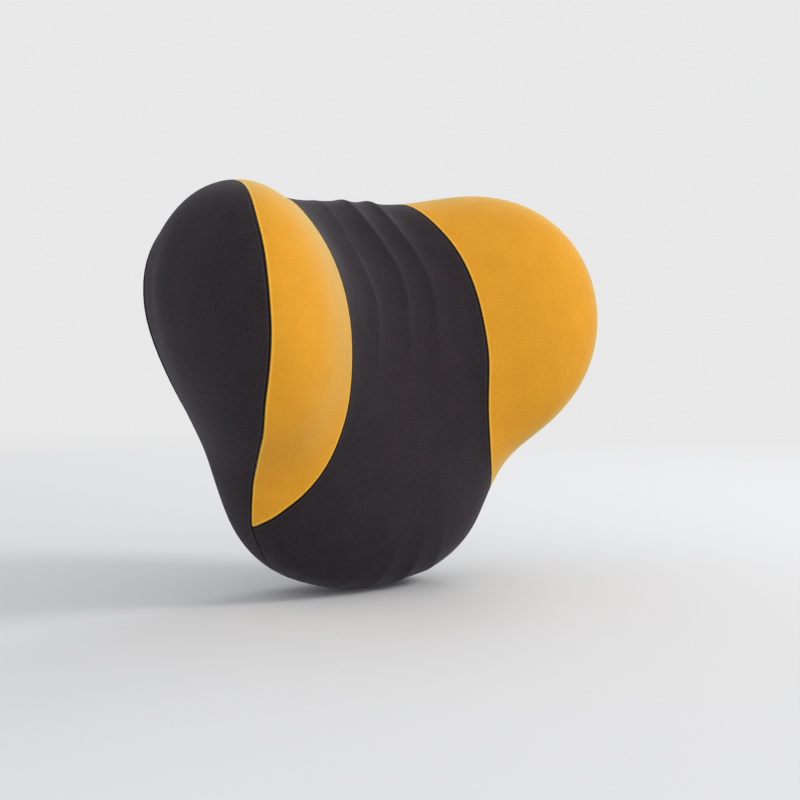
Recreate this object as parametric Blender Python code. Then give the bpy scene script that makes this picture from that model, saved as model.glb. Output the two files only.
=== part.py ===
"""Car neck pillow: a moulded foam core in a knit cover, hung behind by an elastic strap.

Metres, +Z up. The front, where the neck rests, faces -Y, and the flat back lies on y = 0.
The outer form is a lower body, a top roll and two wings, blended and cut off by the back plane.
Stations run up the front from -1 at the bottom of the back seam to 1 at its top.
"""

import math

import bmesh
import bpy
import numpy as np

# Form of the filled cover: half sizes and centres, with depth counted forward from the back
BODY_HALF = (0.101, 0.051, 0.095)
BODY_DEPTH, BODY_HEIGHT = 0.039, -0.040
BODY_SQUARENESS = 2.5
BODY_LEAN = math.radians(-4)
ROLL_HALF = (0.132, 0.030, 0.056)
ROLL_DEPTH, ROLL_HEIGHT = 0.019, 0.050
ROLL_SQUARENESS = 2.2
WING_HALF = (0.044, 0.066, 0.076)
WING_OUT, WING_DEPTH, WING_HEIGHT = 0.0995, 0.065, 0.033
WING_TILT, WING_TOE, WING_LEAN = (math.radians(angle) for angle in (-8, 26, -15.5))
BLEND = 0.055
BACK_EDGE_BLEND = 0.010
BACK_SEAM_DEPTH = 0.009

# Seams, as (station, half width) from the bottom up
RIDGE_SEAM = (
    (-1.0, 0.024), (-0.82, 0.055), (-0.66, 0.078), (-0.52, 0.0925), (-0.4, 0.0993), (-0.22, 0.1115),
    (-0.08, 0.1262), (0.1, 0.134), (0.3, 0.1285), (0.55, 0.109), (0.8, 0.098), (1.0, 0.092),
)
INNER_SEAM = (
    (-0.52, 0.090), (-0.4, 0.0838), (-0.3, 0.0715), (-0.15, 0.060), (0.05, 0.0558), (0.5, 0.053),
    (1.0, 0.047),
)
TIP_STATION = RIDGE_SEAM[3][0]

# Cover
FABRIC = 0.0015
CLEARANCE = 0.0003

# Zip in the back panel
ZIP_LENGTH, ZIP_HEIGHT = 0.160, 0.012
TAPE_WIDTH, TAPE_THICK = 0.0075, 0.0008
TAPE_SINK = 0.0004
COIL_WIDTH, COIL_THICK = 0.0024, 0.0017
COIL_GAP = 0.0011
STOP_LENGTH = 0.003
SLIDER_LENGTH, SLIDER_FRONT, SLIDER_REAR = 0.009, 0.0096, 0.0078
BLADE_THICK, FLANGE_THICK, WEB_THICK = 0.0012, 0.0010, 0.0005
CROWN_LENGTH, CROWN_WIDTH, CROWN_WALL, CROWN_OPENING = 0.0062, 0.0020, 0.0010, 0.0017
PULL_LENGTH, PULL_WIDTH, PULL_THICK = 0.021, 0.0062, 0.0010
SLIDE_CLEARANCE = 0.0003

# Elastic strap
STRAP_WIDTH, STRAP_THICK = 0.030, 0.0018
STRAP_HEIGHT = 0.048
STRAP_SPAN, STRAP_BOW = 0.164, 0.044
STRAP_END = 0.018

# Mesh: cells up the front below and above the accent's tip, and across each panel
ROWS_BELOW, ROWS_ABOVE = 6, 15
SIDE_CELLS, ACCENT_CELLS, CENTRE_CELLS = 7, 5, 9
STRAP_CELLS = 24

CHARCOAL = (0.040, 0.036, 0.040)
AMBER = (0.740, 0.330, 0.022)
FOAM_WHITE = (0.800, 0.760, 0.620)
ZIP_BLACK = (0.020, 0.020, 0.022)


# Form


def turned(points, tilt, toe, lean):
    """The points in the axes of a shape turned about Y, then Z, then X."""
    x, y, z = points[..., 0], points[..., 1], points[..., 2]
    x, z = math.cos(tilt) * x + math.sin(tilt) * z, math.cos(tilt) * z - math.sin(tilt) * x
    x, y = math.cos(toe) * x + math.sin(toe) * y, math.cos(toe) * y - math.sin(toe) * x
    y, z = math.cos(lean) * y + math.sin(lean) * z, math.cos(lean) * z - math.sin(lean) * y
    return np.stack([x, y, z], -1)


def outside_ellipsoid(points, centre, half, squareness=2.0, turn=(0.0, 0.0, 0.0)):
    """About how far each point lies outside a rounded block. It is negative inside."""
    share = np.abs(turned(points - np.array(centre), *turn)) / np.array(half) + 1e-6
    size = (share**squareness).sum(-1) ** (1 / squareness)
    slope = size[..., None] ** (1 - squareness) * share ** (squareness - 1) / np.array(half)
    return (size - 1) / np.linalg.norm(slope, axis=-1)


def lower_of(first, second, band):
    """The lower of two heights, rounded where they come within the band of each other."""
    near = np.maximum(band - np.abs(first - second), 0)
    return np.minimum(first, second) - near * near / (4 * band)


def outside(points):
    """About how far each point lies outside the filled cover."""
    body = outside_ellipsoid(
        points, (0, -BODY_DEPTH, BODY_HEIGHT), BODY_HALF, BODY_SQUARENESS, (0, 0, BODY_LEAN)
    )
    roll = outside_ellipsoid(points, (0, -ROLL_DEPTH, ROLL_HEIGHT), ROLL_HALF, ROLL_SQUARENESS)
    trunk = lower_of(body, roll, BLEND)
    total = -trunk
    for side in (-1, 1):
        wing = outside_ellipsoid(
            points * np.array([side, 1, 1]),
            (WING_OUT, -WING_DEPTH, WING_HEIGHT),
            WING_HALF,
            turn=(WING_TILT, WING_TOE, WING_LEAN),
        )
        total = total + lower_of(trunk, wing, BLEND)
    return -lower_of(-total, -points[..., 1], BACK_EDGE_BLEND)


def normals_at(points):
    """The outward direction of the cover at each point."""
    step = 1e-5
    slope = [outside(points + step * axis) - outside(points - step * axis) for axis in np.eye(3)]
    slope = np.stack(slope, -1)
    return slope / np.linalg.norm(slope, axis=-1)[..., None]


def halved(low, high, is_low):
    """Where a condition stops holding between low and high, by halving."""
    for _ in range(30):
        middle = (low + high) / 2
        stays = is_low(middle)
        low, high = np.where(stays, middle, low), np.where(stays, high, middle)
    return low


# Rays start on an ellipse inside the body and fan out from straight ahead to straight back
FAN_INSET = 0.006
FAN_WIDE, FAN_HIGH = WING_OUT - FAN_INSET, 0.060
FAN_DEPTH, FAN_CENTRE = 0.045, 0.004
REACH = 0.170


def surface_along(turn, share, fan):
    """The surface points hit by rays at a clock angle, a share of the ellipse and a fan angle."""
    start = np.stack(
        [FAN_WIDE * share * np.cos(turn), -FAN_DEPTH + 0 * turn, FAN_CENTRE + FAN_HIGH * share * np.sin(turn)],
        -1,
    )
    ray = np.stack([np.sin(fan) * np.cos(turn), -np.cos(fan), np.sin(fan) * np.sin(turn)], -1)
    length = halved(
        np.zeros(turn.shape), np.full(turn.shape, REACH), lambda t: outside(start + t[..., None] * ray) < 0
    )
    return start + length[..., None] * ray


CLOCK = np.linspace(-math.pi, math.pi, 361)
BACK_SEAM_FAN = halved(
    np.full(CLOCK.shape, math.pi / 2),
    np.full(CLOCK.shape, math.pi * 0.97),
    lambda fan: -surface_along(CLOCK, np.ones(CLOCK.shape), fan)[:, 1] > BACK_SEAM_DEPTH,
)


def surface(across, station, behind=False):
    """Cover points from a square chart: its border is the back seam on both the front and the back."""
    wide = across * np.sqrt(1 - station**2 / 2)
    high = station * np.sqrt(1 - across**2 / 2)
    turn, share = np.arctan2(high, wide), np.hypot(wide, high)
    seam_fan = np.interp(turn, CLOCK, BACK_SEAM_FAN)
    fan = math.pi - share * (math.pi - seam_fan) if behind else share * seam_fan
    return surface_along(turn, share, fan)


# Seams and grid


def smooth_through(knots, station):
    """The value at a station on a smooth line through the knots."""
    places, values = np.array(knots).T
    slopes = np.gradient(values, places)
    cell = int(np.clip(np.searchsorted(places, station) - 1, 0, len(places) - 2))
    step = places[cell + 1] - places[cell]
    t = (station - places[cell]) / step
    return (
        (1 + 2 * t) * (1 - t) ** 2 * values[cell]
        + t * (1 - t) ** 2 * step * slopes[cell]
        + t**2 * (3 - 2 * t) * values[cell + 1]
        + t**2 * (t - 1) * step * slopes[cell + 1]
    )


def across_at(half_width, station):
    """How far across the chart the cover first reaches a half width on a station."""
    tries = np.linspace(0, 1, 241)
    reached = surface(tries, np.full(tries.shape, station))[:, 0]
    first = int(np.argmax(reached > min(half_width, reached.max() * 0.98)))
    return float(np.interp(half_width, reached[first - 1 : first + 1], tries[first - 1 : first + 1]))


def seam_places(station):
    """(inner seam, ridge seam) across the chart. Below the accent's tip they are one seam."""
    ridge = across_at(smooth_through(RIDGE_SEAM, station), station)
    if station < TIP_STATION - 1e-9:
        return ridge, ridge
    return across_at(smooth_through(INNER_SEAM, station), station), ridge


def columns_between(inner, ridge):
    """The grid's columns across one station, from the left edge to the right."""
    right = np.concatenate(
        [
            np.linspace(inner, ridge, ACCENT_CELLS + 1)[1:],
            np.linspace(ridge, 1, SIDE_CELLS + 1)[1:],
        ]
    )
    middle = np.linspace(-inner, inner, CENTRE_CELLS + 1)
    return np.concatenate([-right[::-1], middle, right])


STATIONS = np.concatenate(
    [
        np.linspace(-1, TIP_STATION, ROWS_BELOW + 1),
        np.linspace(TIP_STATION, 1, ROWS_ABOVE + 1)[1:],
    ]
)
FRONT_ACROSS = np.array([columns_between(*seam_places(station)) for station in STATIONS])
ROWS, COLUMNS = FRONT_ACROSS.shape[0] - 1, FRONT_ACROSS.shape[1] - 1
RISE = (STATIONS[:, None] + 1) / 2
BACK_ACROSS = (1 - RISE) * FRONT_ACROSS[0] + RISE * FRONT_ACROSS[-1]
STATION_GRID = np.repeat(STATIONS[:, None], COLUMNS + 1, axis=1)
FRONT = surface(FRONT_ACROSS, STATION_GRID)
BACK = surface(BACK_ACROSS, STATION_GRID, behind=True)


def cells_in(columns, rows=range(ROWS)):
    return [(row, column) for row in rows for column in columns]


ACCENT_START = SIDE_CELLS
CENTRE_START = ACCENT_START + ACCENT_CELLS
CENTRE_END = CENTRE_START + CENTRE_CELLS
ACCENT_END = CENTRE_END + ACCENT_CELLS


# Objects


def material(name, colour, roughness, metallic=0.0):
    made = bpy.data.materials.new(name)
    made.use_nodes = True
    surface_node = made.node_tree.nodes["Principled BSDF"]
    surface_node.inputs["Base Color"].default_value = (*colour, 1)
    surface_node.inputs["Roughness"].default_value = roughness
    surface_node.inputs["Metallic"].default_value = metallic
    made.diffuse_color = (*colour, 1)
    return made


def add_object(name, mesh, look):
    """Put a finished bmesh into the scene as a named object."""
    data = bpy.data.meshes.new(name)
    mesh.to_mesh(data)
    mesh.free()
    thing = bpy.data.objects.new(name, data)
    bpy.context.scene.collection.objects.link(thing)
    if look is not None:
        data.materials.append(look)
    return thing


def add_cells(mesh, corners, points, cells, behind=False):
    """Add the triangles of some grid cells. Corners that coincide become one vertex."""

    def corner(row, column):
        place = points[row, column]
        key = tuple(np.round(place, 7))
        if key not in corners:
            corners[key] = mesh.verts.new(place)
        return corners[key]

    for row, column in cells:
        quad = [corner(row, column), corner(row, column + 1), corner(row + 1, column + 1), corner(row + 1, column)]
        # The diagonal runs out to the chart's corners, where front and back would share a triangle
        if (column >= COLUMNS / 2) != (row >= ROWS / 2):
            quad = quad[1:] + quad[:1]
        for triangle in ([quad[0], quad[1], quad[2]], [quad[0], quad[2], quad[3]]):
            if len(set(triangle)) == 3:
                mesh.faces.new(triangle[::-1] if behind else triangle)


def sink(mesh, depth):
    """Move every vertex straight in from the cover's surface."""
    places = np.array([vertex.co for vertex in mesh.verts])
    for vertex, inward in zip(mesh.verts, -depth * normals_at(places)):
        vertex.co.x += inward[0]
        vertex.co.y += inward[1]
        vertex.co.z += inward[2]


SPLIT_AXIS = (0.3, 0.1, 1.0)


def thicken(mesh, depth):
    """Close an open sheet into a solid that reaches in by a depth."""
    outer = list(mesh.verts)
    faces = [[vertex.index for vertex in face.verts] for face in mesh.faces]
    rims = [
        [vertex.index for vertex in (loop.link_loop_next.vert, loop.vert)]
        for edge in mesh.edges
        if edge.is_boundary
        for loop in edge.link_loops
    ]
    places = np.array([vertex.co for vertex in outer])
    inner = [mesh.verts.new(place) for place in places - depth * normals_at(places)]
    for face in faces:
        mesh.faces.new([inner[index] for index in reversed(face)])
    for start, end in rims:
        # Both sides of a seam split their walls the same way, so that the walls stay parallel
        if (places[end] - places[start]) @ SPLIT_AXIS > 0:
            mesh.faces.new([outer[start], outer[end], inner[end]])
            mesh.faces.new([outer[start], inner[end], inner[start]])
        else:
            mesh.faces.new([outer[start], outer[end], inner[start]])
            mesh.faces.new([outer[end], inner[end], inner[start]])


def add_panel(name, points, cells, look, behind=False):
    """A piece of the cover: some grid cells, drawn back from its seams and given the fabric's thickness."""
    mesh = bmesh.new()
    add_cells(mesh, {}, points, cells, behind)
    rim = bmesh.ops.inset_region(
        mesh, faces=mesh.faces[:], use_boundary=True, use_even_offset=True, thickness=CLEARANCE / 2
    )
    bmesh.ops.delete(mesh, geom=rim["faces"], context="FACES")
    bmesh.ops.triangulate(mesh, faces=mesh.faces[:])
    mesh.verts.index_update()
    thicken(mesh, FABRIC)
    return add_object(name, mesh, look)


def add_box(name, x, y, z, look=None):
    """A block between two limits on each axis. With no look it is a cutter or a piece to join."""
    mesh = bmesh.new()
    made = bmesh.ops.create_cube(mesh, size=1)
    for vertex in made["verts"]:
        vertex.co = [limits[share > 0] for limits, share in zip((x, y, z), vertex.co)]
    thing = add_object(name, mesh, look)
    thing.hide_render = look is None
    return thing


def combine(target, helper, operation):
    change = target.modifiers.new(helper.name, "BOOLEAN")
    change.operation = operation
    change.object = helper
    helper.hide_render = True


def bevel(target, width):
    rounding = target.modifiers.new("rounding", "BEVEL")
    rounding.width = width
    rounding.segments = 2


def about(middle, half):
    return (middle - half, middle + half)


# Cover and core


def add_core(look):
    """The foam fills the cover with a hair's clearance, with a shallow groove for the zip's slider."""
    mesh = bmesh.new()
    corners = {}
    every_cell = cells_in(range(COLUMNS))
    add_cells(mesh, corners, FRONT, every_cell)
    add_cells(mesh, corners, BACK, every_cell, behind=True)
    sink(mesh, FABRIC + CLEARANCE)
    core = add_object("foam_core", mesh, look)
    groove = add_box(
        "slider_groove",
        about(0, ZIP_LENGTH / 2),
        (LOWER_BLADE - BLADE_THICK - SLIDE_CLEARANCE, FABRIC),
        about(ZIP_HEIGHT, SLIDER_FRONT / 2 + 2 * SLIDE_CLEARANCE),
    )
    combine(core, groove, "DIFFERENCE")
    return core


def add_cover(black, amber):
    """Five front panels and the back panel with its zip slot."""
    below, above = range(ROWS_BELOW), range(ROWS_BELOW, ROWS)
    centre = cells_in(range(CENTRE_START, CENTRE_END), above)
    centre += cells_in(range(ACCENT_START, ACCENT_END), below)
    add_panel("centre_panel", FRONT, centre, black)
    add_panel("left_accent_panel", FRONT, cells_in(range(ACCENT_START, CENTRE_START), above), amber)
    add_panel("right_accent_panel", FRONT, cells_in(range(CENTRE_END, ACCENT_END), above), amber)
    add_panel("left_side_panel", FRONT, cells_in(range(ACCENT_START)), black)
    add_panel("right_side_panel", FRONT, cells_in(range(ACCENT_END, COLUMNS)), black)
    back = add_panel("back_panel", BACK, cells_in(range(COLUMNS)), black, behind=True)
    slot = add_box(
        "zip_slot",
        about(0, ZIP_LENGTH / 2 + CLEARANCE),
        (-3 * FABRIC, FABRIC),
        about(ZIP_HEIGHT, COIL_GAP / 2 + TAPE_WIDTH + CLEARANCE),
    )
    combine(back, slot, "DIFFERENCE")


# Zip: heights above the back plane, from the slider's lower blade out to its crown

TAPE_FACE = -TAPE_SINK
COIL_BASE = TAPE_FACE + CLEARANCE
COIL_TOP = COIL_BASE + COIL_THICK
LOWER_BLADE = TAPE_FACE - TAPE_THICK - SLIDE_CLEARANCE
UPPER_BLADE = COIL_TOP + SLIDE_CLEARANCE
CROWN_BASE = UPPER_BLADE + BLADE_THICK
PIVOT = CROWN_BASE + CROWN_OPENING / 2
SLIDER_X = ZIP_LENGTH / 2 - STOP_LENGTH - SLIDE_CLEARANCE - SLIDER_LENGTH / 2


def add_zip(black, metal):
    """Two tapes with a row of coil each, a stop across each end, and the slider with its pull."""
    for name, side in (("upper", 1), ("lower", -1)):
        inner = ZIP_HEIGHT + side * COIL_GAP / 2
        tape = sorted((inner, inner + side * TAPE_WIDTH))
        add_box(f"zip_tape_{name}", about(0, ZIP_LENGTH / 2), (TAPE_FACE - TAPE_THICK, TAPE_FACE), tape, black)
        coil = sorted((inner, inner + side * COIL_WIDTH))
        half = ZIP_LENGTH / 2 - STOP_LENGTH - CLEARANCE
        ridge = add_box(f"zip_coil_{name}", about(0, half), (COIL_BASE, COIL_TOP), coil, black)
        bevel(ridge, COIL_WIDTH / 5)
    for name, side in (("left", -1), ("right", 1)):
        end = sorted((side * ZIP_LENGTH / 2, side * (ZIP_LENGTH / 2 - STOP_LENGTH)))
        stop = add_box(
            f"zip_stop_{name}", end, (COIL_BASE, COIL_TOP), about(ZIP_HEIGHT, COIL_GAP / 2 + COIL_WIDTH), metal
        )
        bevel(stop, STOP_LENGTH / 8)
    add_slider(metal)
    add_pull(metal)


def blade(name, base, look):
    """One of the slider's plates: a block that narrows towards the closed side of the zip."""
    half = SLIDER_LENGTH / 2
    plate = add_box(name, about(SLIDER_X, half), (base, base + BLADE_THICK), about(ZIP_HEIGHT, SLIDER_FRONT / 2), look)
    for vertex in plate.data.vertices:
        if vertex.co.x < SLIDER_X:
            vertex.co.z = ZIP_HEIGHT + (vertex.co.z - ZIP_HEIGHT) * SLIDER_REAR / SLIDER_FRONT
    return plate


def add_slider(look):
    """Two blades joined by the web that parts the rows, with a flange each side and a crown on top."""
    slider = blade("zip_slider", UPPER_BLADE, look)
    front = SLIDER_X + SLIDER_LENGTH / 2
    overlap = BLADE_THICK / 2
    pieces = [blade("slider_lower_blade", LOWER_BLADE - BLADE_THICK, None)]
    pieces.append(
        add_box(
            "slider_web",
            (front - SLIDER_LENGTH / 3, front - FLANGE_THICK / 4),
            (LOWER_BLADE - overlap, UPPER_BLADE + overlap),
            about(ZIP_HEIGHT, WEB_THICK / 2),
        )
    )
    coil_side = COIL_GAP / 2 + COIL_WIDTH + SLIDE_CLEARANCE
    for side in (-1, 1):
        edge = sorted((ZIP_HEIGHT + side * coil_side, ZIP_HEIGHT + side * (coil_side + FLANGE_THICK)))
        rear = SLIDER_X - SLIDER_LENGTH / 2 + SLIDER_LENGTH / 9
        span = (rear, front - SLIDER_LENGTH / 9)
        pieces.append(
            add_box(f"slider_flange_{side}", span, (TAPE_FACE + SLIDE_CLEARANCE, UPPER_BLADE + overlap), edge)
        )
    crown = add_box(
        "slider_crown",
        about(SLIDER_X, CROWN_LENGTH / 2),
        (CROWN_BASE - overlap, CROWN_BASE + CROWN_OPENING + CROWN_WALL),
        about(ZIP_HEIGHT, CROWN_WIDTH / 2),
    )
    pieces.append(crown)
    for piece in pieces:
        combine(slider, piece, "UNION")
    window = add_box(
        "crown_window",
        about(SLIDER_X, CROWN_LENGTH / 2 - CROWN_WALL),
        (CROWN_BASE, CROWN_BASE + CROWN_OPENING),
        about(ZIP_HEIGHT, CROWN_WIDTH),
    )
    combine(slider, window, "DIFFERENCE")


def add_pull(look):
    """A tab on a bar through the crown. It lies back along the closed zip and turns over on the bar."""
    height = about(PIVOT, PULL_THICK / 2)
    arm = CROWN_WIDTH / 2 + SLIDE_CLEARANCE
    tab_start = SLIDER_X - CROWN_LENGTH / 2 - 2 * SLIDE_CLEARANCE
    pull = add_box("zip_pull", about(SLIDER_X, PULL_THICK / 2), height, about(ZIP_HEIGHT, PULL_WIDTH / 2), look)
    for side in (-1, 1):
        edge = sorted((ZIP_HEIGHT + side * arm, ZIP_HEIGHT + side * PULL_WIDTH / 2))
        combine(pull, add_box(f"pull_arm_{side}", (tab_start - PULL_THICK, SLIDER_X), height, edge), "UNION")
    tab = add_box("pull_tab", (SLIDER_X - PULL_LENGTH, tab_start), height, about(ZIP_HEIGHT, PULL_WIDTH / 2))
    combine(pull, tab, "UNION")


# Strap


def strap_height(x):
    """How far the strap's middle stands off the back: flat over its sewn ends, bowed between them."""
    share = min(2 * abs(x) / STRAP_SPAN, 1)
    return CLEARANCE + STRAP_THICK / 2 + STRAP_BOW * (1 - share**3)


def add_strap(look):
    """One band, sewn flat to the back panel at each end and bowed out round the headrest's posts."""
    half = STRAP_SPAN / 2
    places = [-half - STRAP_END, *np.linspace(-half, half, STRAP_CELLS + 1), half + STRAP_END]
    middle = np.array([(x, strap_height(x)) for x in places])
    along = np.gradient(middle, axis=0)
    along /= np.linalg.norm(along, axis=1)[:, None]
    off = np.stack([-along[:, 1], along[:, 0]], -1) * STRAP_THICK / 2
    mesh = bmesh.new()
    rings = []
    for inner, outer in zip(middle - off, middle + off):
        low, high = about(STRAP_HEIGHT, STRAP_WIDTH / 2)
        ring = [(inner, low), (outer, low), (outer, high), (inner, high)]
        rings.append([mesh.verts.new((place[0], place[1], z)) for place, z in ring])
    for here, there in zip(rings, rings[1:]):
        for corner in range(4):
            mesh.faces.new([here[corner], here[corner - 3], there[corner - 3], there[corner]])
    mesh.faces.new(rings[0])
    mesh.faces.new(rings[-1][::-1])
    bmesh.ops.recalc_face_normals(mesh, faces=mesh.faces[:])
    add_object("elastic_strap", mesh, look)


def main():
    for thing in list(bpy.data.objects):
        bpy.data.objects.remove(thing, do_unlink=True)
    black = material("charcoal_knit", CHARCOAL, 0.85)
    amber = material("amber_knit", AMBER, 0.75)
    tape_black = material("zip_black", ZIP_BLACK, 0.6)
    gunmetal = material("gunmetal", (0.10, 0.10, 0.11), 0.35, 1.0)
    add_core(material("foam", FOAM_WHITE, 0.9))
    add_cover(black, amber)
    add_zip(tape_black, gunmetal)
    add_strap(material("strap_black", ZIP_BLACK, 0.8))


main()
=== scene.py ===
"""Looks of the car neck pillow: a two-colour knit cover sewn round its foam, with its zip and strap.

The cover is made of panels. Each one is a fine grid on the form of the part's source, swollen between its
seams by a cloth simulation, drawn in along its seams and lifted into folds where the fabric is gathered.
"""

import math

import bpy
import numpy as np
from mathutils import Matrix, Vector
from mathutils.kdtree import KDTree


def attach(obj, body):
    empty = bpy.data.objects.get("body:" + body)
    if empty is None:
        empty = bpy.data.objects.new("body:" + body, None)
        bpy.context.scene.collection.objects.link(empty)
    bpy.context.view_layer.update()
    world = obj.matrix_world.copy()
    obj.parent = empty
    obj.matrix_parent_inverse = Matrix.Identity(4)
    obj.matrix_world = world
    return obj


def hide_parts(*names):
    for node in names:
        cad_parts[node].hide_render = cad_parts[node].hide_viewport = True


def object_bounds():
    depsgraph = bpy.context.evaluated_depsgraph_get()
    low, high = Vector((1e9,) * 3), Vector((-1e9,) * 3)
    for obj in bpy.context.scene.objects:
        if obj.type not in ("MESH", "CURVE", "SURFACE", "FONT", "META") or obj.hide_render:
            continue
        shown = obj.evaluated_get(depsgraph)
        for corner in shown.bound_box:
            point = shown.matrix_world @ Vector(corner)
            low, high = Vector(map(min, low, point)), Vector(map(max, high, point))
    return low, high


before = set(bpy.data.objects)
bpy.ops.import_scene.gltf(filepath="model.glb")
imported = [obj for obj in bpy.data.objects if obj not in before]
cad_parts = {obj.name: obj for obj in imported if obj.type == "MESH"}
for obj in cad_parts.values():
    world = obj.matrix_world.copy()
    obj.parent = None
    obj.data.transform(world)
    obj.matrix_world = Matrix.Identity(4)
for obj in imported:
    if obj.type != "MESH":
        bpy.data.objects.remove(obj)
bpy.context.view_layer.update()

MM = 0.001

# Form of the filled cover, as the part's source gives it
BODY_HALF = (0.101, 0.051, 0.095)
BODY_DEPTH, BODY_HEIGHT = 0.039, -0.040
BODY_SQUARENESS = 2.5
BODY_LEAN = math.radians(-4)
ROLL_HALF = (0.132, 0.030, 0.056)
ROLL_DEPTH, ROLL_HEIGHT = 0.019, 0.050
ROLL_SQUARENESS = 2.2
WING_HALF = (0.044, 0.066, 0.076)
WING_OUT, WING_DEPTH, WING_HEIGHT = 0.0995, 0.065, 0.033
WING_TILT, WING_TOE, WING_LEAN = (math.radians(angle) for angle in (-8, 26, -15.5))
BLEND = 0.055
BACK_EDGE_BLEND = 0.010
BACK_SEAM_DEPTH = 0.009
FAN_WIDE, FAN_HIGH = 0.0935, 0.060
FAN_DEPTH, FAN_CENTRE = 0.045, 0.004
REACH = 0.170

# Seams, as (station, half width) from the bottom up
RIDGE_SEAM = (
    (-1.0, 0.024), (-0.82, 0.055), (-0.66, 0.079), (-0.54, 0.0915), (-0.46, 0.0961), (-0.367, 0.1008),
    (-0.253, 0.1080), (-0.155, 0.1179), (-0.06, 0.1285), (0.1, 0.134), (0.3, 0.1285), (0.55, 0.109),
    (0.8, 0.098), (1.0, 0.092),
)
INNER_SEAM = (
    (-0.54, 0.0915), (-0.48, 0.0904), (-0.44, 0.0878), (-0.4, 0.0838), (-0.36, 0.0782), (-0.3, 0.0707),
    (-0.15, 0.0594), (0.05, 0.0557), (0.5, 0.053), (1.0, 0.047),
)
TIP_STATION = INNER_SEAM[0][0]
ACCENT_START = TIP_STATION + 0.002

# Cover: fabric, the round at a seam's edge, the pucker beside it and the pitch of its stitches
FABRIC = 0.8 * MM
SHOULDER = 0.6 * MM
PUCKER_HEIGHT, PUCKER_PITCH, PUCKER_REACH = 0.07 * MM, 7.0 * MM, 5 * MM
PUCKER_WANDER = 0.017
STITCH_PITCH = 2.6 * MM

# Swelling: how far inside the form a panel starts, how far it may rise, how far from a seam it is full
START_INSET, SWELL_LIMIT, SWELL_REACH = 0.4 * MM, 1.1 * MM, 9 * MM
CLOTH_MASS, CLOTH_STRETCH, CLOTH_SHEAR, CLOTH_BEND = 0.02, 15, 7.5, 0.1
CLOTH_PRESSURE, CLOTH_FRAMES, CLOTH_QUALITY, CLOTH_CELL = 90.0, 20, 6, 4.5 * MM

# The filling stands fuller in each wing's upper outer corner: rise, then (across, station) on the chart
FULLNESS, FULL_PLACE, FULL_SPREAD = 2.5 * MM, (0.70, 0.71), (0.20, 0.16)

# Gathers in the centre panel: crests as (station, x, rise in mm), from the top or the bottom seam
GATHERS = (
    ((-0.1, -0.030, 0.0), (0.06, -0.0271, 0.9), (0.15, -0.0242, 1.3), (0.25, -0.0205, 1.5),
     (0.38, -0.0201, 1.2), (0.56, -0.0204, 0.6), (0.8, -0.021, 0.4), (1.0, -0.021, 0.5)),
    ((-0.1, 0.0, 0.0), (0.08, 0.0022, 1.3), (0.25, 0.0065, 1.9), (0.44, 0.0091, 2.0), (0.6, 0.0062, 1.7),
     (0.74, 0.0015, 1.3), (0.86, 0.0015, 1.2), (1.0, 0.001, 0.7)),
    ((-0.1, 0.023, 0.0), (0.1, 0.0250, 1.3), (0.24, 0.0273, 1.9), (0.4, 0.0288, 2.0), (0.55, 0.0268, 1.8),
     (0.7, 0.0236, 1.5), (0.84, 0.0222, 1.5), (1.0, 0.022, 0.8)),
    ((-1.0, -0.008, 0.2), (-0.85, -0.008, 0.5), (-0.72, -0.0085, 0.9), (-0.62, -0.0085, 0.8),
     (-0.48, -0.0075, 0.0)),
    ((-1.0, 0.011, 0.2), (-0.85, 0.012, 0.5), (-0.72, 0.013, 1.0), (-0.6, 0.0135, 0.9), (-0.46, 0.014, 0.0)),
    ((-0.80, 0.043, 0.0), (-0.70, 0.0405, 0.3), (-0.62, 0.0365, 0.5), (-0.55, 0.032, 0.6),
     (-0.45, 0.027, 0.0)),
    ((-1.0, -0.033, 0.1), (-0.85, -0.032, 0.3), (-0.72, -0.031, 0.6), (-0.56, -0.027, 0.0)),
)
GATHER_GROWTH, GATHER_WIDTH, GATHER_ROUND, GATHER_SEAM = 1.6, 6.5 * MM, 0.8 * MM, 3 * MM

# Zip and strap, as the part's source gives them
ZIP_LENGTH, ZIP_HEIGHT = 0.160, 0.012
TAPE_WIDTH, TAPE_SINK = 0.0075, 0.0004
COIL_WIDTH, COIL_THICK, COIL_GAP = 0.0024, 0.0017, 0.0011
STOP_LENGTH, ZIP_CLEARANCE = 0.003, 0.0003
STRAP_WIDTH, STRAP_THICK, STRAP_HEIGHT = 0.030, 0.0018, 0.048
STRAP_SPAN, STRAP_BOW, STRAP_END = 0.164, 0.044, 0.018

# Their finer make: the coil's reach into the gap, pitch and thread, how many rings and sides a thread is
# made of, the strap's ribs, and the stitches
COIL_REACH, COIL_PITCH, COIL_THREAD = 0.24 * MM, 1.25 * MM, 0.3 * MM
COIL_TURN_RINGS, THREAD_SIDES, STITCH_RINGS = 14, 6, 7
RIB_PITCH, RIB_DEPTH = 1.5 * MM, 0.07 * MM
THREAD_RADIUS, STITCH_LENGTH, STITCH_STEP = 0.24 * MM, 2.4 * MM, 3.0 * MM
EDGE_TO_STITCH, SIDE_TO_STITCH = 2 * MM, 2.5 * MM

# Camera and light: the camera's frame is square, and the lights look at one place
VIEW_AZIMUTH, VIEW_ELEVATION = math.radians(-42.6), math.radians(2.73)
VIEW_DISTANCE = 1.066
VIEW_TARGET = Vector((0.0351, -0.0400, -0.0201))
VIEW_FOCAL_PIXELS, FRAME_PIXELS, SENSOR_WIDTH = 1659.4, 800, 36
LIGHT_TARGET = Vector((0, -0.05, 0))


# Form


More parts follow.
